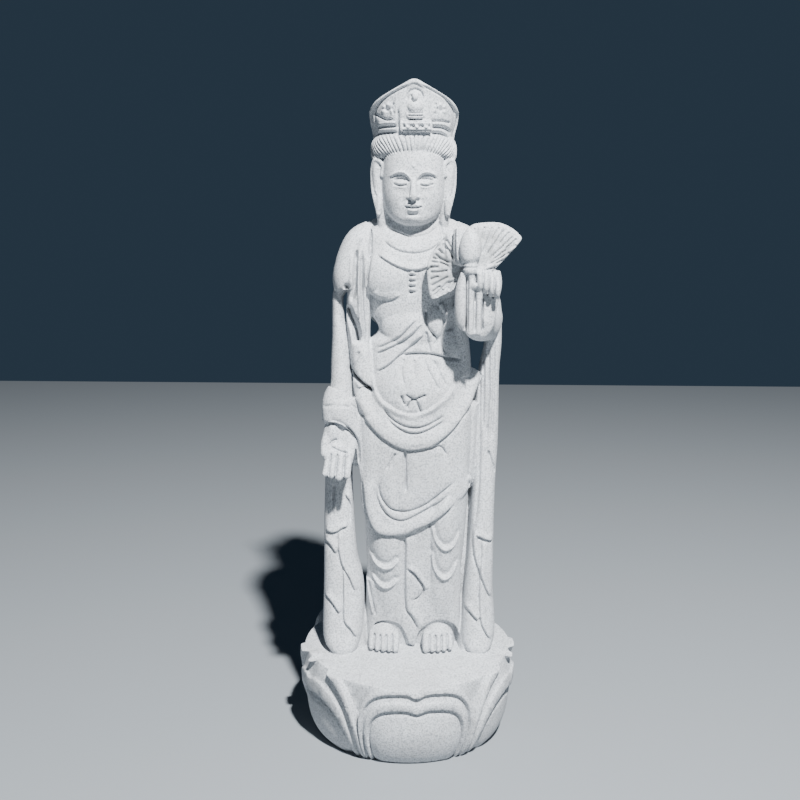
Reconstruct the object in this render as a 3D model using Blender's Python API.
"""A standing Kannon on a lotus pedestal, carved from one block of granite.

Metres, +Z up. The figure faces -Y, and the origin is the middle of the flat underside.
The pedestal has its own sizes. The figure is free form: its places and lengths are
thousandths of FIGURE_HEIGHT, measured from the middle of the pedestal's top.
"""
import math

import bmesh
import bpy
import numpy as np

# Figure
FIGURE_HEIGHT = 1.030       # from the pedestal's top to the tip of the crown

# Pedestal
PEDESTAL_HEIGHT = 0.168     # to the middle of its top
PEDESTAL_DIAMETER = 0.410   # across the petals
UNDERSIDE_DIAMETER = 0.335  # across the flat that it stands on
TOP_RISE = 0.022            # how much higher the top's back edge is than its front edge
TOP_DOME = 0.004            # how far the top's middle stands above its edge
PETAL_COUNT = 5
FRONT_PETAL_ANGLE = 62.5    # degrees of the front petal, the others share the rest evenly
PETAL_TURN = 5.0            # degrees that the front petal's middle lies right of the figure's front
PETAL_DEPTH = 0.008         # how deep the bands between the petals' lips are cut
SIDE_LOBE = 1.0             # top of the side petals, as a share of the pedestal's height
BACK_LOBE = 1.17            # top of the back petals, as a share of the pedestal's height
# How much narrower and lower a petal gets per level, how square its outline is, and its tip
# as a share of the pedestal's height
FRONT_PETAL = (0.185, 0.325, 4.2, 0.935)
OTHER_PETALS = (0.25, 0.513, 2.6, 1.113)

# Fineness of the stone surface
MODEL_GRAIN = 0.0022        # size of the grid that the forms are fused on
TRIANGLES = 9600            # faces left after thinning

GRANITE_COLOUR = (0.63, 0.65, 0.66, 1.0)
GRANITE_ROUGHNESS = 0.85

UNIT = FIGURE_HEIGHT / 1000.0


# Curves and outlines

def smooth_rows(rows, count):
    """Rows of numbers read off a smooth curve through the given rows."""
    rows = np.asarray(rows, float)
    ends = np.vstack([2 * rows[0] - rows[1], rows, 2 * rows[-1] - rows[-2]])
    place = np.linspace(0, len(rows) - 1, count)
    low = np.minimum(place.astype(int), len(rows) - 2)
    part = (place - low)[:, None]
    a, b, c, d = ends[low], ends[low + 1], ends[low + 2], ends[low + 3]
    curve = 2 * b + (c - a) * part + (2 * a - 5 * b + 4 * c - d) * part ** 2
    return 0.5 * (curve + (3 * b - a - 3 * c + d) * part ** 3)


def superoval(count, squareness):
    """Unit outline between a circle (2) and a square, as cosine-like and sine-like shares."""
    turn = np.linspace(0, 2 * math.pi, count, endpoint=False)
    cosine, sine = np.cos(turn), np.sin(turn)
    power = 2.0 / squareness
    return np.sign(cosine) * np.abs(cosine) ** power, np.sign(sine) * np.abs(sine) ** power


def step(value, low, high):
    """0 below low, 1 above high, and smooth between."""
    share = np.clip((value - low) / (high - low), 0, 1)
    return share * share * (3 - 2 * share)


# Closed forms, in figure units

class Forms:
    """Closed forms that are fused into one stone later, given in units above a level."""

    def __init__(self, unit, level):
        self.unit = unit
        self.level = level
        self.points = []
        self.faces = []

    def add(self, points, faces):
        start = len(self.points)
        points = np.asarray(points) * self.unit + np.array([0, 0, self.level])
        self.points.extend(map(tuple, points))
        self.faces.extend(tuple(start + corner for corner in face) for face in faces)

    def skin(self, rings):
        """Closes a row of rings, each with as many points, and caps both ends."""
        rings = np.asarray(rings)
        rows, sides = rings.shape[:2]
        points = list(rings.reshape(-1, 3))
        points += [rings[0].mean(axis=0), rings[-1].mean(axis=0)]
        faces = []
        for row in range(rows - 1):
            for side in range(sides):
                following = (side + 1) % sides
                low, high = row * sides, (row + 1) * sides
                faces.append((low + side, low + following, high + following, high + side))
        last = (rows - 1) * sides
        for side in range(sides):
            following = (side + 1) % sides
            faces.append((rows * sides, following, side))
            faces.append((rows * sides + 1, last + side, last + following))
        self.add(points, faces)

    def trunk(self, rows, sides=64, steps=60, squareness=2.4):
        """Upright form: rows of height, middle x, half width, front y, back y."""
        rows = smooth_rows(rows, steps)
        across, along = superoval(sides, squareness)
        rings = []
        for height, middle, half, front, back in rows:
            centre = (front + back) / 2
            depth = (back - front) / 2
            ring = np.stack([middle + half * across, centre + depth * along,
                             np.full(sides, height)], axis=1)
            rings.append(ring)
        self.skin(rings)

    def limb(self, rows, sides=32, steps=24, squareness=2.0, front=(0, -1, 0)):
        """Form along a path: rows of x, y, z, half width, half depth."""
        rows = smooth_rows(rows, steps)
        across, along = superoval(sides, squareness)
        path = rows[:, :3]
        heading = np.gradient(path, axis=0)
        rings = []
        for place, way, (wide, deep) in zip(path, heading, rows[:, 3:5]):
            way = way / np.linalg.norm(way)
            side = np.cross(way, front)
            side = side / np.linalg.norm(side)
            forward = np.cross(side, way)
            rings.append(place + np.outer(wide * across, side) + np.outer(deep * along, forward))
        self.skin(rings)

    def ball(self, centre, radii, turn=(0, 0, 0), sides=28, steps=16):
        """Ellipsoid, turned by degrees about X, then Y, then Z."""
        rings = []
        for level in np.linspace(0.02, math.pi - 0.02, steps):
            around = np.linspace(0, 2 * math.pi, sides, endpoint=False)
            ring = np.stack([np.sin(level) * np.cos(around), np.sin(level) * np.sin(around),
                             np.full(sides, np.cos(level))], axis=1)
            rings.append(ring * np.asarray(radii))
        rings = np.asarray(rings) @ rotation(turn).T + np.asarray(centre)
        self.skin(rings)

    def sheet(self, front, back):
        """Closed plate between two grids of points of the same shape."""
        front, back = np.asarray(front), np.asarray(back)
        rows, columns = front.shape[:2]
        points = list(front.reshape(-1, 3)) + list(back.reshape(-1, 3))
        shift = rows * columns
        faces = []
        for row in range(rows - 1):
            for column in range(columns - 1):
                a = row * columns + column
                b, c, d = a + 1, a + columns + 1, a + columns
                faces.append((a, b, c, d))
                faces.append((a + shift, d + shift, c + shift, b + shift))
        rim = [column for column in range(columns)]
        rim += [row * columns + columns - 1 for row in range(1, rows)]
        rim += [(rows - 1) * columns + column for column in range(columns - 2, -1, -1)]
        rim += [row * columns for row in range(rows - 2, 0, -1)]
        for index, a in enumerate(rim):
            b = rim[(index + 1) % len(rim)]
            faces.append((b, a, a + shift, b + shift))
        self.add(points, faces)


def rotation(turn):
    """Matrix that turns by degrees about X, then Y, then Z."""
    matrix = np.eye(3)
    for axis, degrees in enumerate(turn):
        cosine, sine = math.cos(math.radians(degrees)), math.sin(math.radians(degrees))
        one, two = [(1, 2), (2, 0), (0, 1)][axis]
        single = np.eye(3)
        single[one, one] = single[two, two] = cosine
        single[one, two], single[two, one] = -sine, sine
        matrix = single @ matrix
    return matrix


# The figure's forms

HEAD_MIDDLE = 4.0       # the head's middle line, right of the figure's zero
CHIN, HAIRLINE = 765.0, 884.0       # heights, and three equal thirds lie between them
FACE_THIRD = (HAIRLINE - CHIN) / 3
BROW = HAIRLINE - FACE_THIRD
NOSE = CHIN + FACE_THIRD
MOUTH = NOSE - FACE_THIRD / 3
EYE_WIDTH = 108.0 / 5
ROLL_WIDE, ROLL_DEEP = 60.0, 52.0   # half axes of the oval that the hair roll follows
ROLL_THICK = 13.0       # half the roll's thickness
CROWN_FOOT, CROWN_TIP = 903.0, 1001.0   # heights of the crown's foot and point
LOCK_WIDTH = 9.6        # across one lock of the hair roll
LOCK_DEPTH = 1.6
FINEST_LINE = 5.0       # the narrowest line that the stone's faces can hold
BODY_MIDDLE = 10.0


def torso_and_skirt(forms):
    forms.trunk([(-14, 11, 80, -22, 58), (20, 11, 81, -28, 60), (45, 10.5, 81.5, -34.5, 62),
                 (80, 10, 83, -39, 64), (120, 10, 84.5, -45, 66), (200, 12, 89.5, -53, 70),
                 (300, 12, 95.5, -63, 74), (380, 12, 100, -69, 78), (440, 12, 101, -68, 77),
                 (500, 14, 95, -60, 72), (548, 15, 89, -54, 64), (560, 15, 86, -52, 62),
                 (570, 15, 75, -51, 60), (580, 15, 69, -50, 58)], squareness=3.2)
    forms.trunk([(530, 15, 82, -52, 62), (563, 14, 71, -53, 60), (580, 13, 68, -53, 59),
                 (594, 10, 71, -54, 60), (606, 8, 79, -54, 61), (630, 6, 83, -57, 65),
                 (660, 6, 88, -59, 70), (700, 5, 96, -60, 72), (735, 5, 92, -48, 66),
                 (757, 5, 76, -37, 58), (778, 4, 46, -32, 46), (800, 4, 34, -34, 42)])
    for side in (-1, 1):
        forms.ball((BODY_MIDDLE - 6 + 45 * side, -41, 676), (44, 27, 42))
        forms.ball((4 + 52 * side, 6, 742), (40, 34, 31))
        leg = BODY_MIDDLE + 3 + 46 * side
        forms.limb([(leg, -26, 450, 40, 36), (leg, -28, 330, 38, 38), (leg, -20, 200, 37, 38),
                    (leg, -13, 110, 36, 36), (leg, -9, 70, 34, 32)])
    forms.ball((8, -34, 588), (58, 26, 44))
    forms.ball((10, -34, 470), (78, 40, 78))
    forms.ball((43, -50, 599), (14, 9, 29), turn=(0, -8, 0))
    forms.limb([(52, -56, 628, 4, 5), (62, -55, 610, 4, 5)], sides=16, steps=6)
    forms.limb([(78, 0, 620, 14, 40), (88, -4, 560, 16, 40), (94, -6, 500, 16, 44)])
    forms.limb([(-87, -8, -12, 13, 34), (-87, -2, 40, 13, 26), (-86, 4, 70, 11, 16),
                (-85, 9, 92, 5, 6)])
    forms.limb([(103, -6, -12, 12, 40), (102, 24, 100, 10, 25), (106, 28, 290, 9, 23),
                (109, 2, 322, 10, 27), (112, -4, 450, 11, 30)])


def upper_skirt(forms):
    """The layer of cloth whose lower border is the lower loop."""
    border = smooth_rows([(-86, 345), (-85, 300), (-80, 265), (-70, 237), (-58, 222), (-45, 218),
                          (-28, 216), (-6, 218), (12, 228), (38, 240), (64, 259), (83, 277),
                          (98, 295), (106, 312)], 44)
    front, back = [], []
    for share in np.linspace(0, 1, 16):
        front_row, back_row = [], []
        for x, low in border:
            height = low + (430 - low) * share
            side = min(abs(x - 8) / 99, 1.0)
            bulge = (1 - side ** 5) ** (1 / 5)
            front_row.append((x, 8 - (66 + 8 * share) * bulge, height))
            back_row.append((x, 16 - 20 * bulge, height))
        front.append(front_row)
        back.append(back_row)
    forms.sheet(front, back)


def hem(forms):
    """The skirt's lowest stretch, which arches over each foot."""
    border = smooth_rows([(-77, 2), (-71, 18), (-61, 41), (-50, 49), (-32, 50), (-15, 43),
                          (-5, 27), (4, 6), (13, 4), (21, 30), (40, 47), (58, 53), (76, 48),
                          (88, 37), (94, 18), (96, 2)], 60)
    front, back = [], []
    for share in np.linspace(0, 1, 16):
        front_row, back_row = [], []
        for x, low in border:
            height = low + (125 - low) * share
            side = min(abs(x - 10) / 87, 1.0)
            bulge = (1 - side ** 5) ** (1 / 5)
            front_row.append((x, 14 - (49 + 9 * height / 125) * bulge, height))
            back_row.append((x, 18 - 34 * bulge, height))
        front.append(front_row)
        back.append(back_row)
    forms.sheet(front, back)


def shawl_loops(forms):
    """The two loops of the shawl that cross the skirt, and the one on the back."""
    forms.limb([(-84, -18, 560, 15, 17), (-83, -24, 520, 17, 17), (-80, -31, 482, 19, 17),
                (-70, -42, 456, 20, 14), (-48, -52, 431, 24, 13), (-20, -59, 413, 28, 12),
                (6, -62, 408, 30, 12), (34, -60, 413, 29, 12), (60, -51, 429, 25, 13),
                (84, -38, 452, 22, 15), (100, -28, 480, 18, 15), (116, -16, 506, 14, 15)],
               steps=44, squareness=2.6)
    forms.limb([(-70, -30, 318, 14, 15), (-62, -37, 268, 22, 15),
                (-42, -45, 244, 26, 13), (-12, -49, 241, 26, 13), (20, -49, 253, 26, 13),
                (52, -46, 277, 26, 13), (80, -38, 301, 24, 14), (98, -28, 325, 18, 14)],
               steps=40, squareness=2.6)
    forms.limb([(-104, 26, 700, 22, 12), (-84, 50, 650, 24, 11), (-44, 66, 600, 26, 10),
                (6, 70, 580, 27, 10), (56, 66, 600, 26, 10), (96, 50, 650, 24, 11),
                (116, 26, 700, 22, 12)], steps=36, squareness=2.6)


def left_arm(forms):
    forms.limb([(-62, 6, 748, 24, 34), (-84, 6, 727, 32, 42), (-95, 3, 694, 36, 48),
                (-104, 0, 671, 32, 50), (-103, -1, 650, 31, 47)], squareness=2.3)
    forms.limb([(-108, 0, 670, 20, 24), (-126, -1, 640, 10, 20), (-126, -4, 600, 11, 21),
                (-122.5, -9, 565, 14.5, 22), (-121.5, -16, 520, 17, 22), (-119.5, -24, 458, 20, 22),
                (-121, -30, 425, 20, 16)])
    forms.limb([(-80, -2, 738, 14, 36), (-83, -4, 700, 18, 45), (-87, -8, 650, 22, 43),
                (-90, -11, 605, 21.5, 38), (-89, -13, 565, 19, 34), (-86, -17, 540, 19, 32),
                (-83, -22, 508, 18, 30), (-79, -29, 478, 16, 26)], squareness=2.4)
    forms.limb([(-124, -22, 474, 20, 24), (-127, -23, 460, 24.5, 27), (-128, -25, 444, 26.5, 30),
                (-128, -28, 418, 25.5, 31)], steps=20, squareness=2.3)
    forms.limb([(-97, -22, 420, 10, 14), (-95, -18, 360, 10, 12), (-93, -12, 334, 7, 8)])
    forms.limb([(-124, -4, 446, 21, 20), (-125, 4, 410, 20, 22), (-126, 9, 360, 21, 22)])
    web(forms)
    left_hand(forms)


def web(forms):
    """Cloth from the cuff to the upper loop, in rows of x, lowest and highest point, front."""
    rows = smooth_rows([(-150, 413, 440, -42), (-140, 419, 448, -54), (-132, 421, 450, -59),
                        (-123, 419, 452, -61), (-115, 415, 454, -61), (-102, 402, 460, -58),
                        (-94, 387, 464, -54), (-90, 345, 456, -50), (-80, 300, 440, -51),
                        (-62, 300, 420, -56), (-40, 300, 400, -61)], 40)
    front, back = [], []
    for share in np.linspace(0, 1, 14):
        front_row, back_row = [], []
        for x, low, high, face in rows:
            height = low + (high - low) * share
            front_row.append((x, face + 4 * (2 * share - 1) ** 4, height))
            back_row.append((x, face + 34, height))
        front.append(front_row)
        back.append(back_row)
    forms.sheet(front, back)


def left_hand(forms):
    forms.limb([(-122, -28, 430, 18, 12), (-123, -34, 405, 27, 13), (-124, -47, 376, 30, 13),
                (-124, -58, 354, 26, 11), (-125, -62, 346, 22, 8)], squareness=2.6)
    forms.ball((-134, -44, 394), (14, 12, 22), turn=(14, 0, 14))
    for root, tip, low, half in ((-140.5, -146, 328, 5.3), (-130, -135, 325, 5.8),
                                 (-118.5, -121.5, 320.5, 6.4), (-105.5, -107.5, 324, 6.2)):
        forms.limb([(root, -57, 366, half, 8), ((root + tip) / 2, -66, 348, half, 7.6),
                    (tip, -77, low + half, half * 0.94, 7)], sides=18, steps=12)
        forms.ball((tip, -77, low + half), (half * 0.94, 6.6, half), sides=18, steps=10)
    forms.limb([(-137, -40, 404, 12, 11), (-147, -50, 382, 8, 9), (-149, -57, 366, 6.2, 7.6)],
               sides=18, steps=12)
    forms.ball((-149, -57, 365), (6.2, 7.6, 7), sides=18, steps=10)


def tails(forms):
    """The shawl's ends, which hang from the wrist and the elbow to the pedestal."""
    forms.trunk([(370, -120, 22, -14, 34), (330, -126, 24, -12, 34), (300, -127, 25, -14, 32),
                 (240, -126, 27, -24, 30), (210, -125, 28, -30, 30), (165, -123, 30.5, -36, 30),
                 (135, -119, 34.5, -40, 30), (100, -117, 37, -45, 30), (40, -118, 37.5, -56, 30),
                 (20, -119, 35.5, -62, 30),
                 (8, -119, 32, -66, 29), (0, -118, 27, -67, 26), (-6, -118, 19, -64, 20),
                 (-10, -118, 8, -50, 10)], squareness=2.6)
    forms.trunk([(650, 140, 14, -22, 30), (620, 142, 18, -26, 32), (560, 147, 15, -24, 30),
                 (510, 141, 18, -22, 30), (450, 138, 21, -22, 30), (380, 137, 22, -24, 32),
                 (300, 134.5, 21, -28, 32), (200, 132, 22.5, -33, 32), (150, 130, 24.5, -37, 32),
                 (114, 128.5, 26, -40, 32), (50, 128.5, 30.5, -48, 32), (22, 127.5, 31, -54, 30),
                 (9, 127, 29, -58, 28), (0, 127, 25, -59, 26), (-6, 127, 17, -56, 20),
                 (-10, 127, 8, -44, 10)], squareness=2.6)


def right_arm(forms):
    forms.limb([(68, 6, 748, 24, 34), (92, 6, 727, 32, 40), (108, 4, 690, 33, 42),
                (124, 2, 650, 30, 38), (134, -2, 610, 27, 34), (136, -8, 590, 24, 28)],
               squareness=2.3)
    forms.limb([(138, 6, 600, 26, 30), (129, -30, 594, 28, 31), (119, -66, 597, 28, 30),
                (116, -92, 606, 27, 28), (116, -100, 622, 26, 22)],
               squareness=2.2, front=(0, 0, 1))
    forms.limb([(110, -98, 584, 20, 16), (117, -100, 604, 25, 18), (120.5, -100, 635, 26, 18),
                (126, -99, 668, 27, 17), (128, -97, 690, 22, 13)], squareness=2.5)
    forms.limb([(92, -108, 592, 6, 8), (86, -114, 606, 10, 12), (84.5, -117, 634, 11, 14),
                (85, -118, 662, 9.5, 13), (89, -120, 686, 6, 9)], sides=24, steps=18)
    forms.limb([(96, -112, 590, 12, 10), (97, -114, 640, 12, 10), (102, -114, 690, 13, 10)])
    forms.limb([(110, -114, 640, 10, 12), (110, -116, 694, 8, 11)])
    for finger in range(4):
        x = 114.5 + 9.6 * finger
        top = 694 - 4.2 * finger
        forms.limb([(x, -100, top - 7, 7, 4.7), (x, -117, top - 5, 7, 4.9),
                    (x, -131, top - 10, 7, 4.9), (x - 0.5, -136, top - 24, 6.5, 4.8),
                    (x - 1, -128, top - 35, 5, 4.6)],
                   sides=18, steps=18, front=(1, 0, 0))
    forms.limb([(99, -126, 660, 5, 6), (104, -135, 665, 5, 5), (107, -137, 670, 4.5, 4.5)],
               sides=16, steps=10)
    forms.limb([(100, -128, 700, 6.2, 7), (100, -129, 640, 6.2, 7), (100.5, -127, 585, 6.2, 7)],
               sides=20, steps=12)
    forms.limb([(113.5, -127, 660, 6, 6), (113.5, -127, 620, 6, 6), (113.5, -125, 585, 6, 6)],
               sides=18, steps=12)


def lotus_in_hand(forms):
    forms.limb([(99, -127, 686, 11, 11), (99, -127, 692, 12.5, 12.5), (99, -127, 695, 10.5, 10.5),
                (99, -127, 699, 12.5, 12.5), (99, -127, 703, 10.5, 10.5), (98, -127, 711, 16, 16),
                (98, -126, 727, 18.5, 18), (98, -125, 744, 15, 15), (98, -125, 756, 8, 8),
                (98, -125, 761, 3, 3)], sides=32, steps=50)
    forms.limb([(77, -108, 758, 2.6, 5), (77, -115, 735, 3, 6), (79, -118, 706, 3, 6)],
               sides=16, steps=14)
    forms.limb([(80, -98, 756, 9, 10), (80, -104, 730, 10, 11), (82, -106, 700, 10, 10)])
    forms.limb([(65, -84, 750, 7, 5), (69, -90, 730, 11, 5), (72, -92, 706, 12, 5),
                (78, -93, 688, 9, 6)])
    leaf(forms, RIGHT_LEAF_ROOT, RIGHT_LEAF_RIM, bulge=9, thickness=7)
    leaf(forms, LEFT_LEAF_ROOT, LEFT_LEAF_RIM, bulge=-4, thickness=7)
    forms.limb([(76, -40, 706, 12, 22), (84, -96, 704, 8, 16), (94, -122, 704, 8, 12)])


RIGHT_LEAF_ROOT = (104, -112, 684)
RIGHT_LEAF_RIM = [(90, -104, 752), (100, -106, 763), (114, -104, 767), (143, -98, 768),
                  (164, -94, 761), (181, -92, 748), (183, -94, 738), (160, -102, 712),
                  (131, -110, 682)]
LEFT_LEAF_ROOT = (86, -96, 690)
LEFT_LEAF_RIM = [(66, -86, 752), (46, -88, 731), (33, -89, 711), (28, -90, 693), (30, -94, 662),
                 (36, -98, 641), (50, -100, 645), (72, -104, 656)]


def leaf(forms, root, rim, bulge, thickness):
    """Fan of a lotus leaf from its root to its rim, with a rolled rim."""
    root = np.asarray(root, float)
    rim = smooth_rows(rim, 40)
    front, back = [], []
    for share in np.linspace(0.04, 1.0, 14):
        arch = bulge * math.sin(math.pi * share) - 4 * float(step(share, 0.86, 1.0))
        row = root + (rim - root) * share + np.array([0, -arch, 0])
        half = np.array([0, thickness / 2, 0])
        front.append(row - half)
        back.append(row + half)
    forms.sheet(front, back)


def hair_roll(turn):
    """Height of the roll's middle and its half height, at a turn from the front."""
    return 899 - 13 * (1 - np.cos(turn)), 17 + 3 * np.sin(turn) ** 2


def head(forms):
    x = HEAD_MIDDLE
    forms.trunk([(700, x, 44, -40, 44), (745, x, 38, -40, 42), (775, x, 36, -40, 44),
                 (800, x, 34, -36, 44)], squareness=2.0, steps=16)
    forms.trunk([(761, x, 13, -54, -26), (765, x, 26, -61, -4), (775, x, 40, -66, 14),
                 (790, x, 49, -68, 26), (812, x, 54, -70, 34), (838, x, 55, -72, 40),
                 (862, x, 55, -72, 44), (885, x, 54, -69, 44), (915, x, 46, -56, 40)],
                squareness=2.3, sides=96, steps=60)
    forms.limb([(x, -66, BROW, 4.4, 4.5), (x, -70, BROW - 10, 4.6, 5.5),
                (x, -74.5, NOSE + 14, 5.6, 6.5), (x, -77.5, NOSE + 5, 7, 6.5),
                (x, -74, NOSE, 6.5, 5)], sides=18, steps=16)
    forms.trunk([(725, x, 46, 2, 58), (745, x, 56, -8, 64), (765, x, 60, -24, 66),
                 (790, x, 62, -34, 68), (830, x, 67, -39, 70), (870, x, 70, -42, 68),
                 (905, x, 66, -42, 62), (925, x, 58, -42, 56)], steps=40, squareness=3.4)
    turns = np.radians(np.linspace(-118, 118, 41))
    rows = []
    for turn in turns:
        middle, half = hair_roll(turn)
        rows.append((x + ROLL_WIDE * math.sin(turn), -8 - ROLL_DEEP * math.cos(turn), middle,
                     ROLL_THICK, half))
    forms.limb(rows, steps=70, front=(0, 0, 1), squareness=2.5)
    forms.ball((x, 2, 905), (64, 58, 46))
    forms.ball((x, 6, 944), (42, 42, 44))
    ears(forms)


def ears(forms):
    """Each ear lies low on the hair, wrapped round its corner, with a rolled rim and a long lobe."""
    helix = [(0.10, 842), (0.02, 858), (0.24, 868), (0.66, 869), (0.95, 858), (1.0, 840),
             (0.84, 820), (0.62, 804), (0.44, 790), (0.30, 778)]
    fold = [(0.28, 855), (0.62, 855), (0.74, 842), (0.60, 824), (0.40, 812)]
    for side in (-1, 1):
        def place(across, z, out=0.0):
            turn = math.radians(75 * across)
            return (HEAD_MIDDLE + side * (51 + (20 + out) * math.sin(turn)),
                    -17 - (21 + out) * math.cos(turn), z)
        forms.limb([(HEAD_MIDDLE + side * 51, -8, 742, 9, 14),
                    (HEAD_MIDDLE + side * 53, -16, 770, 9, 14),
                    (HEAD_MIDDLE + side * 57, -19, 800, 10, 15),
                    (HEAD_MIDDLE + side * 60, -20, 845, 11, 16),
                    (HEAD_MIDDLE + side * 59, -20, 880, 10, 14)], squareness=2.4)
        forms.limb([place(across, z) + (3.4, 3.4) for across, z in helix], steps=44, sides=16)
        forms.limb([place(across, z, -1) + (2.6, 2.6) for across, z in fold], steps=24, sides=14)
        forms.ball(place(0.32, 794, -2), (5.5, 6, 19))


def crown_edge(turn):
    """Height of the crown's upper edge, at a turn from the front."""
    out = np.abs(np.sin(turn))
    return CROWN_TIP - 38 * out - 11 * out ** 12


def crown_place(turn, height, inward=0.0):
    grow = 7.5 * float(step(height, CROWN_FOOT, CROWN_FOOT + 42)) - inward
    lean = 4 * (height - CROWN_FOOT) / (CROWN_TIP - CROWN_FOOT)
    return (HEAD_MIDDLE + (65 + grow) * math.sin(turn),
            -8 - lean - (61 + grow) * math.cos(turn), height)


def crown(forms):
    turns = np.radians(np.linspace(-92, 92, 61))
    outer, inner = [], []
    for share in np.linspace(0, 1, 18):
        heights = CROWN_FOOT + (crown_edge(turns) - 3 - CROWN_FOOT) * share
        outer.append([crown_place(turn, height) for turn, height in zip(turns, heights)])
        inner.append([crown_place(turn, height, 10) for turn, height in zip(turns, heights)])
    forms.sheet(outer, inner)
    rim = [crown_place(turns[0], height, 0) for height in (905, 918, 932)]
    rim += [crown_place(turn, crown_edge(turn) - 4.0, 0) for turn in turns[1:-1:2]]
    rim += [crown_place(turns[-1], height, 0) for height in (932, 918, 905)]
    forms.limb([place + (3.8, 4.0) for place in rim], steps=140, sides=16)
    x = HEAD_MIDDLE + 1
    forms.limb([(x - 22, -69, 924, 9, 7), (x - 12, -73, 924, 9, 7), (x + 3, -74.5, 924, 9, 7),
                (x + 18, -73, 924, 9, 7), (x + 27, -69, 924, 9, 7)], squareness=4, sides=20)
    forms.ball((x + 1, -77, 941), (15, 7, 6.5), sides=18, steps=10)
    forms.ball((x + 1, -78, 956), (13.5, 7, 10), sides=16, steps=10)
    forms.ball((x, -81, 970), (5.4, 5.4, 6.5), sides=14, steps=8)


def feet(forms):
    for inner, side in ((-22, -1), (33.5, 1)):
        forms.ball((inner + 22 * side, -18, 6), (30, 37, 42))
        for toe in range(5):
            x = inner + side * 10.8 * toe
            reach = -60 + 1.0 * max(toe - 1, 0) ** 2
            size = 6.6 if toe == 0 else 5.4 - 0.1 * toe
            forms.limb([(x - 0.8 * side * (toe - 2), -34, 30, size, size),
                        (x, reach + 14, 21, size, size * 1.1), (x, reach, 7, size, size)],
                       sides=16, steps=14)
            forms.ball((x, reach, 5.5), (size, 6.5, size), sides=16, steps=8)


def pedestal(forms):
    """Bowl of petals with a flat underside and a gently domed top."""
    rim = PEDESTAL_DIAMETER / 2
    foot = UNDERSIDE_DIAMETER / 2
    shape = [(-0.012, foot - 0.006), (0.0, foot), (0.10, foot + 0.36 * (rim - foot)),
             (0.28, foot + 0.72 * (rim - foot)), (0.52, rim - 0.002), (0.76, rim),
             (0.90, rim - 0.0005), (0.975, rim - 0.0015)]
    rows = [(share * PEDESTAL_HEIGHT if share > 0 else share, radius) for share, radius in shape]
    rings = []
    around = np.linspace(0, 2 * math.pi, 120, endpoint=False)
    for height, radius in smooth_rows(rows, 40):
        rings.append(np.stack([radius * np.cos(around), radius * np.sin(around),
                               np.full(len(around), height)], axis=1))
    for share in (0.982, 0.9, 0.8, 0.7, 0.6, 0.5, 0.4, 0.3, 0.2, 0.05):
        radius = rim * share
        dome = TOP_DOME * (1 - share ** 2) - TOP_DOME
        rings.append(np.stack([radius * np.cos(around), radius * np.sin(around),
                               np.full(len(around), PEDESTAL_HEIGHT + dome)], axis=1))
    rings = np.asarray(rings)
    above = step(rings[..., 2], 0.3 * PEDESTAL_HEIGHT, PEDESTAL_HEIGHT)
    rings[..., 2] += above * TOP_RISE * rings[..., 1] / PEDESTAL_DIAMETER
    forms.skin(rings)


# Carving: the fused surface is pushed in and out along curves

def near_curve(places, curve, reach):
    """Points of a surface near a curve: which, how far, on which side and how far along."""
    low, high = curve.min(axis=0) - reach, curve.max(axis=0) + reach
    index = np.flatnonzero(np.all((places > low) & (places < high), axis=1))
    spots = places[index]
    nearest = np.full(len(spots), np.inf)
    side = np.zeros(len(spots))
    along = np.zeros(len(spots))
    spans = np.linalg.norm(np.diff(curve, axis=0), axis=1)
    total = spans.sum()
    passed = 0.0
    for start, end, span in zip(curve[:-1], curve[1:], spans):
        way = (end - start) / span
        offset = spots - start
        share = np.clip(offset @ way, 0, span)
        away = offset - np.outer(share, way)
        distance = np.hypot(away[:, 0], away[:, 1])
        closer = distance < nearest
        nearest[closer] = distance[closer]
        side[closer] = np.sign(way[0] * offset[:, 1] - way[1] * offset[:, 0])[closer]
        along[closer] = ((passed + share) / total)[closer]
        passed += span
    kept = nearest < reach
    return index[kept], nearest[kept], side[kept], along[kept]


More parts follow.
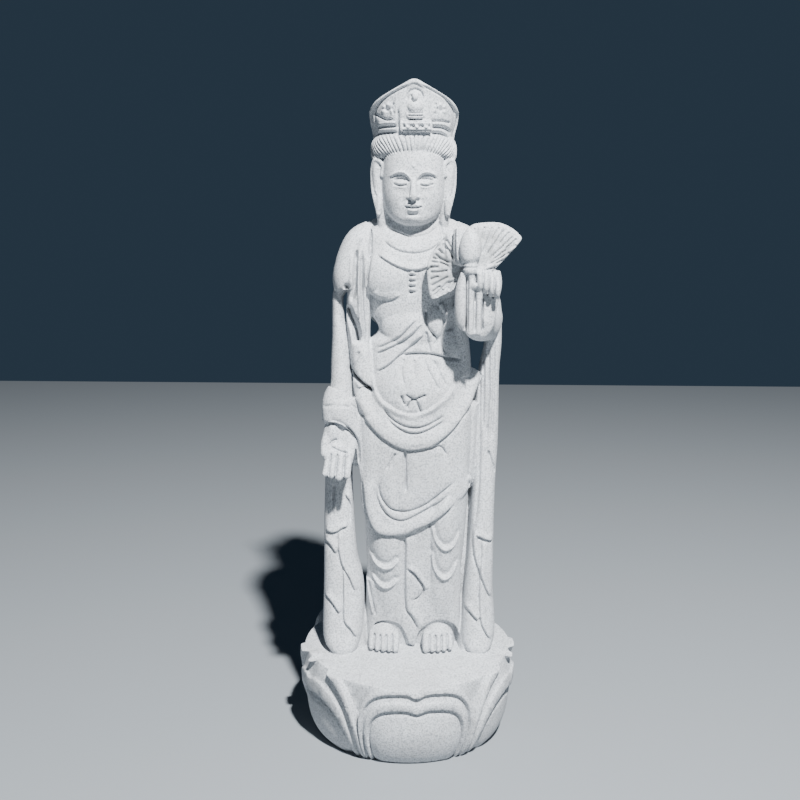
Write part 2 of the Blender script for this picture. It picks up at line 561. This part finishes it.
class Carver:
    """Raises and sinks one face of the figure, seen straight from the front or the back."""

    def __init__(self, points, normals, way=-1):
        figure = (points - np.array([0, 0, PEDESTAL_HEIGHT])) / UNIT
        self.way = way
        self.flat = figure[:, [0, 2]]
        self.depth = figure[:, 1]
        self.facing = step(way * normals[:, 1], 0.05, 0.5)
        self.raised = np.zeros(len(points))

    def curve(self, points):
        """A smooth curve with a point about every 3 units."""
        points = np.asarray(points, float)
        length = np.linalg.norm(np.diff(points, axis=0), axis=1).sum()
        return smooth_rows(points, max(4, int(length / 3)))

    def close(self, points, reach, near):
        index, distance, side, along = near_curve(self.flat, self.curve(points), reach)
        depth = self.depth[index]
        kept = (depth > near[0]) & (depth < near[1])
        return index[kept], distance[kept], side[kept], along[kept]

    def line(self, points, width, height, near=(-95, 10), fade=0.12):
        """A groove where height is below zero, a ridge where it is above."""
        width = max(width, FINEST_LINE)
        index, distance, _, along = self.close(points, width, near)
        ends = step(np.minimum(along, 1 - along), -0.01, fade) if fade else 1.0
        self.raised[index] += height * (1 - (distance / width) ** 2) ** 2 * ends

    def edge(self, points, height, fall, near=(-95, 10), fade=0.08, groove=0.4):
        """A cloth's edge: the cloth lies on the left of the curve, and thins out over fall."""
        index, distance, side, along = self.close(points, fall, near)
        ends = step(np.minimum(along, 1 - along), -0.01, fade) if fade else 1.0
        sharp = 2.5
        over = step(distance * side, -sharp, sharp)
        cloth = height * over * (1 - step(distance, 0.2 * fall, fall))
        below = -groove * height * (1 - over) * (1 - step(distance, 0, 3.5 * sharp))
        self.raised[index] += (cloth + below) * ends

    def mound(self, centre, radii, height, near=(-110, -40)):
        """A soft swelling, or a hollow where height is below zero."""
        across = (self.flat[:, 0] - centre[0]) / radii[0]
        up = (self.flat[:, 1] - centre[1]) / radii[1]
        away = across ** 2 + up ** 2
        kept = (away < 1) & (self.depth > near[0]) & (self.depth < near[1])
        self.raised[kept] += height * (1 - away[kept]) ** 2

    def apply(self, points):
        points[:, 1] += self.way * self.raised * self.facing * UNIT


def carve_drapery(carver):
    carver.edge([(-99, 485), (-94, 463), (-87, 445), (-72, 422), (-57, 405), (-45, 395), (-24, 382),
                 (-6, 376), (5, 375), (33, 380), (54, 392), (74, 409), (88, 426), (107, 450),
                 (117, 470)], 6.5, 26)
    carver.edge([(79, 495), (70, 478), (53, 460), (30, 445), (6, 438), (-16, 442), (-34, 452),
                 (-48, 462), (-58, 478), (-64, 505), (-66, 533), (-67, 560)], 5, 12)
    carver.line([(-47, 448), (-33, 431), (-16, 420), (1, 415), (19, 415), (41, 423), (62, 436)],
                4, -5.5)
    carver.line([(-44, 438), (-30, 421), (-12, 409), (5, 404), (22, 406), (43, 415), (64, 428)],
                4, -5.5)
    carver.edge([(-82, 320), (-79, 290), (-75, 261), (-64, 233), (-52, 221), (-30, 218),
                 (-6, 220), (12, 230), (38, 241), (64, 261), (85, 281)], 6.5, 26)
    carver.line([(-55, 318), (-51, 293), (-37, 271), (-20, 262), (2, 262), (31, 275), (64, 302),
                 (85, 319)], 4, -5)
    carver.line([(-59, 307), (-55, 282), (-42, 259), (-24, 246), (-4, 246), (27, 262), (55, 279),
                 (75, 297)], 4, -5)
    carver.line([(-7, 374), (-6, 338), (-5, 295)], 4, -6)
    carver.edge([(-5, 219), (-6, 150), (-4, 80), (8, 59), (20, 33)], 5, 22)
    carver.edge([(-1, 154), (12, 141), (26, 121), (28, 112)], 4, 12, groove=1)
    carver.line([(-2, 155), (12, 141), (26, 121), (28, 112), (22, 98), (6, 88)], 3.6, -5)
    carver.line([(-5, 218), (-6, 150), (-4, 80), (8, 59), (20, 35)], 4, -4)
    for inner, side in ((-22, -1), (33.5, 1)):
        for gap in range(4):
            x = inner + side * (5.9 + 10.8 * gap)
            carver.line([(x - 0.5 * side * (gap - 2), 29), (x, 16), (x, -4)], 3.2, -5, (-80, -16))
    for fold in ([(-69, 179), (-62, 166), (-50, 157), (-39, 155), (-28, 159), (-17, 171)],
                 [(-66, 139), (-57, 127), (-48, 120), (-39, 118), (-28, 123), (-19, 133)],
                 [(42, 238), (47, 213), (58, 196), (70, 192), (83, 200), (91, 221)],
                 [(40, 190), (46, 158), (57, 140), (68, 136), (79, 145), (89, 167)]):
        carver.line([(x, z + 8) for x, z in fold], 9, -3.5)
        carver.line(fold, 4.5, 5)
    carver.line([(38, 236), (40, 173), (39, 120)], 4, -3)
    for fold in ([(35, 375), (54, 381), (66, 365)], [(-23, 369), (-40, 337)],
                 [(36, 241), (38, 230)], [(-72, 128), (-67, 98), (-58, 58)]):
        carver.line(fold, 3.5, -4)
    carver.line([(-76, 125), (-70, 92), (-63, 60)], 4, 4)


def carve_waist(carver):
    for fold in ([(-58, 550), (-41, 557), (-20, 569), (-8, 580), (12, 602)],
                 [(-58, 540), (-41, 548), (-18, 560), (7, 578), (20, 594)],
                 [(-58, 509), (-37, 521), (-18, 538), (1, 554), (24, 575)]):
        carver.edge(fold, 3.5, 12)
        carver.line(fold, 4, -3.5)
    carver.line([(-17, 538), (5, 541), (28, 541), (44, 539), (64, 534), (90, 530)], 4.6, -7)
    carver.line([(27, 618), (27, 601), (30, 589), (39, 576), (44, 571)], 4, -6)
    carver.line([(59, 607), (57, 588), (56, 572), (56, 555), (64, 537)], 4, -4)
    carver.line([(28, 582), (31, 563), (36, 543)], 4, -5)
    carver.line([(39, 576), (47, 567), (41, 556)], 3.4, -3.5)
    for fold in ([(-10, 534), (-14, 513), (-10, 490)], [(24, 531), (36, 506), (52, 479)],
                 [(41, 531), (55, 502), (63, 486)], [(8, 532), (8, 506)]):
        carver.line(fold, 4, -3.2)
    for fold in ([(-7, 473), (6, 465), (13, 466), (30, 473)], [(6, 465), (-2, 455), (-4, 448)],
                 [(10, 465), (16, 452), (20, 441)], [(-14, 472), (-12, 463), (-8, 455)]):
        carver.line(fold, 3.6, -6.5)


def carve_arms(carver):
    near = (-90, 10)
    carver.line([(-111, 622), (-102, 603), (-93, 580), (-89, 556)], 11, -19, near, fade=0.1)
    carver.line([(-67, 762), (-68, 735), (-70, 700), (-75, 656)], 3.2, -4.5, near)
    carver.line([(-112, 415), (-101, 402), (-92, 386), (-89, 368), (-89, 344)], 4.5, -7, near)
    carver.line([(-104, 517), (-98, 504), (-86, 492), (-74, 482), (-63, 474)], 6, -16, near,
                fade=0.08)
    carver.line([(-100, 712), (-101, 684), (-100, 655)], 6, 2.5, near)
    carver.line([(-92, 720), (-94, 690), (-95, 665), (-97, 646), (-102, 628)], 6, -8.5, near)
    carver.line([(-88, 724), (-89, 690), (-88, 640), (-86, 600), (-82, 570)], 4, 4.5, near)
    carver.line([(-83, 718), (-83, 671), (-82, 630), (-80, 598), (-79, 572), (-81, 546)], 5.5,
                -8.5, near)
    carver.line([(-88, 545), (-93, 528), (-100, 514)], 4, -4, near)
    carver.mound((-109, 655), (7, 9), -17, near)
    carver.edge([(-90, 342), (-90, 368), (-93, 386), (-102, 402), (-115, 416), (-132, 422),
                 (-149, 415)], 3, 16, near, groove=0.6)
    for fold in ([(-152, 446), (-125, 450), (-100, 447)], [(-104, 453), (-94, 445), (-86, 432)]):
        carver.line(fold, 4, -2.4, near)
    carver.line([(-141, 379), (-134, 386), (-126, 390)], 3.4, -4.5, near)
    carver.line([(-137, 377), (-122, 370), (-106, 366)], 4, -3.5, near)
    carver.mound((-120, 384), (16, 14), -4, near)
    fist = (-150, -100)
    for x, top in ((119.3, 690), (128.9, 686), (138.5, 681)):
        carver.line([(x, top), (x - 0.5, top - 20), (x - 1, top - 38)], 2.8, -4.5, fist)
    for x, top in ((93.6, 686), (106.8, 656), (119.6, 646)):
        carver.line([(x, top), (x, 640), (x, 588)], 3.6, -6.5, fist)
    for low, high in ((-140.3, -135.5), (-128, -124.5), (-114.3, -112)):
        carver.line([(high, 368), ((low + high) / 2, 350), (low, 322)], 2.8, -5, (-100, 10))


def carve_tails(carver):
    for fold in ([(-150, 215), (-138, 213), (-127, 216), (-118, 222), (-109, 223)],
                 [(-126, 213), (-125, 182), (-119, 156), (-107, 135), (-95, 106)],
                 [(-151, 199), (-141, 191), (-131, 177)], [(-114, 281), (-105, 263), (-103, 231)],
                 [(-151, 99), (-138, 88), (-124, 69)],
                 [(-117, 150), (-116, 100), (-115, 58), (-104, 42), (-91, 22)],
                 [(122, 211), (133, 206), (151, 199)],
                 [(118, 222), (116, 202), (120, 170), (132, 136), (141, 112), (150, 95)],
                 [(101, 81), (110, 73), (126, 56)],
                 [(133, 202), (130, 148), (129, 101), (131, 59), (139, 38), (152, 17)]):
        carver.edge(fold, 5, 14, groove=0.7)
    carver.line([(106, 316), (110, 290), (109, 250)], 4.5, -5, (-70, 10))
    for fold in ([(118, 571), (124, 520), (126, 364), (124, 284), (118, 222)],
                 [(129, 556), (131, 470), (131, 400)], [(147, 560), (149, 470), (146, 380)],
                 [(140, 366), (154, 322)], [(138, 560), (140, 470), (137, 380)],
                 [(-134, 300), (-137, 240)]):
        carver.line(fold, 4, -4.5, (-70, 10))


def carve_chest(carver):
    carver.line([(-45, 763), (-39, 756), (-22, 749), (-4, 742), (10, 741), (22, 744), (38, 751),
                 (49, 764)], 3.6, -3)
    carver.line([(-48, 736), (-35, 725), (-18, 717), (0, 714), (18, 715), (38, 722), (54, 735)],
                3.6, -4)
    carver.edge([(-57, 713), (-50, 708), (-31, 697), (-15, 690), (3, 686), (20, 688), (40, 697)],
                5, 14, groove=0.5)
    for fold in ([(-68, 760), (-68, 712), (-70, 695), (-75, 654), (-75, 619), (-73, 590)],
                 [(48, 769), (53, 752), (56, 734), (57, 715)]):
        carver.line(fold, 4, -4.5)
    for height in (682, 672.5, 663, 653.5):
        carver.mound((3, height), (5.6, 4.8), 6)
        carver.line([(-3, height - 5), (9, height - 5)], 2.6, -4, fade=0.02)
    carver.edge([(-67, 646), (-56, 636), (-40, 634), (-28, 637), (-17, 643)], 4.5, 16)


def carve_head(carver):
    """Closed lids, brows, lips and the seated figure's throne on the crown."""
    x = HEAD_MIDDLE
    near = (-100, -44)
    eye_level = BROW - 13
    for side in (-1, 1):
        eye = x + side * EYE_WIDTH
        carver.mound((eye - side, eye_level + 5), (18, 12), -6.5)
        carver.mound((eye, eye_level + 0.5), (13.5, 8.5), 7)
        carver.mound((x + 9 * side, NOSE + 4), (5.5, 5.5), 4.5)
        carver.mound((x + 31 * side, NOSE + 3), (22, 26), 3.6)
        carver.line([(eye - 11, eye_level - 2), (eye, eye_level - 4), (eye + 11, eye_level - 2)],
                    4, -3, near)
    carver.mound((x, MOUTH), (24, 17), 4)
    carver.line([(x - 15, MOUTH + 1.6), (x, MOUTH - 0.8), (x + 15, MOUTH + 1.6)], 4, -3.4, near)
    carver.line([(x - 10, MOUTH - 4), (x, MOUTH - 5.8), (x + 10, MOUTH - 4)], 4, 3, near)
    carver.mound((x, CHIN + 8), (17, 11), 4.6)
    carver.mound((x, BROW + 15), (3.8, 3.8), 3.2)


def comb_hair(points, normals):
    """Locks on the roll of hair, which slant down towards the middle of the brow."""
    places = (points - np.array([0, 0, PEDESTAL_HEIGHT])) / UNIT
    x, y, z = places[:, 0] - HEAD_MIDDLE, places[:, 1] + 8, places[:, 2]
    turn = np.arctan2(x / ROLL_WIDE, -y / ROLL_DEEP)
    middle, half = hair_roll(turn)
    across = (np.hypot(x / ROLL_WIDE, y / ROLL_DEEP) - 1) * 57
    up = (z - middle) / half
    away = np.hypot(across / ROLL_THICK, up)
    zone = (step(away, 0.5, 0.75) * (1 - step(away, 1.18, 1.35)) * step(across, -8, 0)
            * (1 - step(np.abs(turn), 1.9, 2.05)) * (1 - 0.75 * step(up, 0.1, 0.8)))
    slant = 0.12 + 0.6 * step(np.abs(turn), 0.05, 0.9)
    lock = math.pi * (57 * np.abs(turn) - slant * up * half) / LOCK_WIDTH
    groove = 1 - np.abs(np.sin(lock))
    points += normals * (LOCK_DEPTH * (0.35 - 1.5 * groove) * zone * UNIT)[:, None]


def carve_back(carver):
    """Plain folds of the shawl, the skirt and the hair behind."""
    near = (0, 110)
    for x in (-68, -40, -12, 18, 48, 78):
        carver.line([(x + 2, 500), (x, 300), (x + 0.1 * x, 8)], 9, -5, near)
    for low in (552, 570, 590):
        carver.line([(-100, low + 120), (-70, low + 45), (6, low), (84, low + 45), (112, low + 120)],
                    5, -4, near)
    for x in (-44, -22, 0, 22, 44):
        carver.line([(HEAD_MIDDLE + 0.6 * x, 925), (HEAD_MIDDLE + x, 850),
                     (HEAD_MIDDLE + 0.9 * x, 745)], 7, -4, near)
    for x in (-128, 132):
        carver.line([(x - 8, 300), (x - 8, 20)], 6, -4, near)
        carver.line([(x + 10, 300), (x + 9, 20)], 6, -4, near)


def petal_share(turn):
    """Which share of its petal's half width each direction is at, and if it is the front one."""
    first = math.radians(FRONT_PETAL_ANGLE)
    other = (2 * math.pi - first) / (PETAL_COUNT - 1)
    turn = np.mod(turn - math.radians(PETAL_TURN) + first / 2, 2 * math.pi)
    in_front = turn < first
    share = np.where(in_front, turn / first, np.mod(turn - first, other) / other)
    return 2 * share - 1, in_front


def petal_level(side, height, outline):
    """How far in from a petal's edge a place is: 0 at the edge, 1 where the swelling starts."""
    wide, deep, power, tip = outline
    low = np.full(len(side), -1.0)
    high = np.full(len(side), 3.0)
    for _ in range(14):
        level = (low + high) / 2
        across = side / np.maximum(1 - wide * level, 0.05)
        up = height / np.maximum(tip * (1 - deep * level), 0.02)
        inside = across ** power + up ** power < 1
        low = np.where(inside, level, low)
        high = np.where(inside, high, level)
    return (low + high) / 2


def carve_pedestal(points):
    """Petals with a doubled lip and a swelling middle, cut round the side of the bowl."""
    radius = np.hypot(points[:, 0], points[:, 1])
    turn = np.arctan2(points[:, 0], -points[:, 1])
    near_side = (radius > 0.36 * PEDESTAL_DIAMETER) & (points[:, 2] < 1.1 * PEDESTAL_HEIGHT)
    index = np.flatnonzero(near_side)
    spots, radius = points[index], radius[index]
    share, in_front = petal_share(turn[index])
    side = np.abs(share)
    disc = PEDESTAL_HEIGHT + TOP_RISE * spots[:, 1] / PEDESTAL_DIAMETER
    height = np.maximum(spots[:, 2], 0) / PEDESTAL_HEIGHT
    height = height * (1 + 0.055 * np.exp(-(side / 0.11) ** 2))
    level = np.where(in_front, petal_level(side, height, FRONT_PETAL),
                     petal_level(side, height, OTHER_PETALS))
    cut = PETAL_DEPTH * np.where(in_front, 1.0, 1.35)
    outside = 1 - step(level, -0.03, 0.03)
    band = (step(level, 0.2, 0.25) * (1 - step(level, 0.5, 0.56))
            * (1 - 0.45 * step(level, 0.25, 0.55)))
    second = (step(level, 0.8, 0.86) * (1 - step(level, 0.96, 1.04))
              * (1 - 0.3 * step(level, 0.86, 1.0)))
    swell = step(level, 1.0, 1.9)
    outside *= 1 + 3.2 * np.clip(0.97 - height, 0, 0.4)
    profile = (-PETAL_DEPTH * outside - 1.05 * cut * band
               - 0.15 * cut * step(level, 0.5, 0.56) - 1.1 * cut * second
               - 0.5 * cut * step(level, 0.98, 1.02) * (1 - swell) + 0.1 * cut * swell)
    below_top = step(disc - spots[:, 2], -0.002, 0.003)
    rim = radius / (PEDESTAL_DIAMETER / 2)
    push = profile * below_top * step(rim, 0.74, 0.82) / np.maximum(radius, 1e-6)
    crest = np.clip(1 - side ** 2.6, 0, 1) ** (1 / 2.6)
    lobe = SIDE_LOBE + (BACK_LOBE - SIDE_LOBE) * step(spots[:, 1] / radius, -0.1, 0.5)
    crest = lobe * PEDESTAL_HEIGHT * crest * (1 - 0.03 * np.exp(-(side / 0.11) ** 2))
    lift = np.maximum(crest - disc + 0.002, 0) * ~in_front
    lift = lift * step(rim, 0.84, 0.95) * step(spots[:, 2], disc - 0.030, disc - 0.004)
    points[index, 0] *= 1 + push
    points[index, 1] *= 1 + push
    points[index, 2] += lift


# Putting the stone together

def stone_material():
    material = bpy.data.materials.new("granite")
    material.use_nodes = True
    shader = material.node_tree.nodes["Principled BSDF"]
    shader.inputs["Base Color"].default_value = GRANITE_COLOUR
    shader.inputs["Roughness"].default_value = GRANITE_ROUGHNESS
    shader.inputs["Metallic"].default_value = 0.0
    return material


def mesh_object(name, points, faces):
    mesh = bpy.data.meshes.new(name)
    mesh.from_pydata([tuple(point) for point in points], [], faces)
    piece = bpy.data.objects.new(name, mesh)
    bpy.context.scene.collection.objects.link(piece)
    return piece


def keep_result(piece):
    """Replaces a piece's mesh with what its modifiers make of it."""
    graph = bpy.context.evaluated_depsgraph_get()
    mesh = bpy.data.meshes.new_from_object(piece.evaluated_get(graph))
    piece.modifiers.clear()
    piece.data = mesh


def fuse(piece, grain, rounds):
    remesh = piece.modifiers.new("Fuse", "REMESH")
    remesh.mode = "VOXEL"
    remesh.voxel_size = grain
    soften = piece.modifiers.new("Soften", "SMOOTH")
    soften.factor = 0.5
    soften.iterations = rounds
    keep_result(piece)


def surface(mesh):
    count = len(mesh.vertices)
    points = np.empty(count * 3, np.float32)
    normals = np.empty(count * 3, np.float32)
    mesh.vertices.foreach_get("co", points)
    mesh.vertex_normals.foreach_get("vector", normals)
    return points.reshape(-1, 3).astype(float), normals.reshape(-1, 3).astype(float)


def drop_crumbs(mesh):
    """Keeps the largest body, and drops the crumbs that the grid leaves in narrow gaps."""
    work = bmesh.new()
    work.from_mesh(mesh)
    bodies = []
    unseen = set(work.verts)
    while unseen:
        body = [unseen.pop()]
        for corner in body:
            for edge in corner.link_edges:
                other = edge.other_vert(corner)
                if other in unseen:
                    unseen.remove(other)
                    body.append(other)
        bodies.append(body)
    bodies.sort(key=len)
    for body in bodies[:-1]:
        bmesh.ops.delete(work, geom=body, context="VERTS")
    work.to_mesh(mesh)
    work.free()


def cut_flat(mesh):
    """Cuts the stone off at the ground and closes the cut."""
    work = bmesh.new()
    work.from_mesh(mesh)
    everything = work.verts[:] + work.edges[:] + work.faces[:]
    cut = bmesh.ops.bisect_plane(work, geom=everything, dist=1e-6, plane_co=(0, 0, 0),
                                 plane_no=(0, 0, -1), clear_outer=True)
    rim = [item for item in cut["geom_cut"] if isinstance(item, bmesh.types.BMEdge)]
    bmesh.ops.edgenet_fill(work, edges=rim)
    bmesh.ops.triangulate(work, faces=work.faces[:])
    bmesh.ops.recalc_face_normals(work, faces=work.faces[:])
    work.to_mesh(mesh)
    work.free()


def statue():
    figure = Forms(UNIT, PEDESTAL_HEIGHT)
    torso_and_skirt(figure)
    upper_skirt(figure)
    hem(figure)
    shawl_loops(figure)
    left_arm(figure)
    right_arm(figure)
    lotus_in_hand(figure)
    tails(figure)
    head(figure)
    crown(figure)
    feet(figure)
    base = Forms(1.0, 0.0)
    pedestal(base)
    figure.unit, figure.level = 1.0, 0.0
    figure.add(base.points, base.faces)
    piece = mesh_object("kannon_statue", figure.points, figure.faces)
    fuse(piece, MODEL_GRAIN, 2)
    drop_crumbs(piece.data)
    points, normals = surface(piece.data)
    front = Carver(points, normals)
    carve_drapery(front)
    carve_waist(front)
    carve_arms(front)
    carve_tails(front)
    carve_chest(front)
    carve_head(front)
    back = Carver(points, normals, way=1)
    carve_back(back)
    front.apply(points)
    back.apply(points)
    comb_hair(points, normals)
    carve_pedestal(points)
    piece.data.vertices.foreach_set("co", points.astype(np.float32).ravel())
    piece.data.update()
    thin = piece.modifiers.new("Thin", "DECIMATE")
    piece.data.calc_loop_triangles()
    thin.ratio = TRIANGLES / len(piece.data.loop_triangles)
    keep_result(piece)
    cut_flat(piece.data)
    piece.data.materials.append(stone_material())
    piece.data.shade_smooth()
    piece.data.set_sharp_from_angle(angle=math.radians(50))


for old in list(bpy.data.objects):
    bpy.data.objects.remove(old, do_unlink=True)
statue()
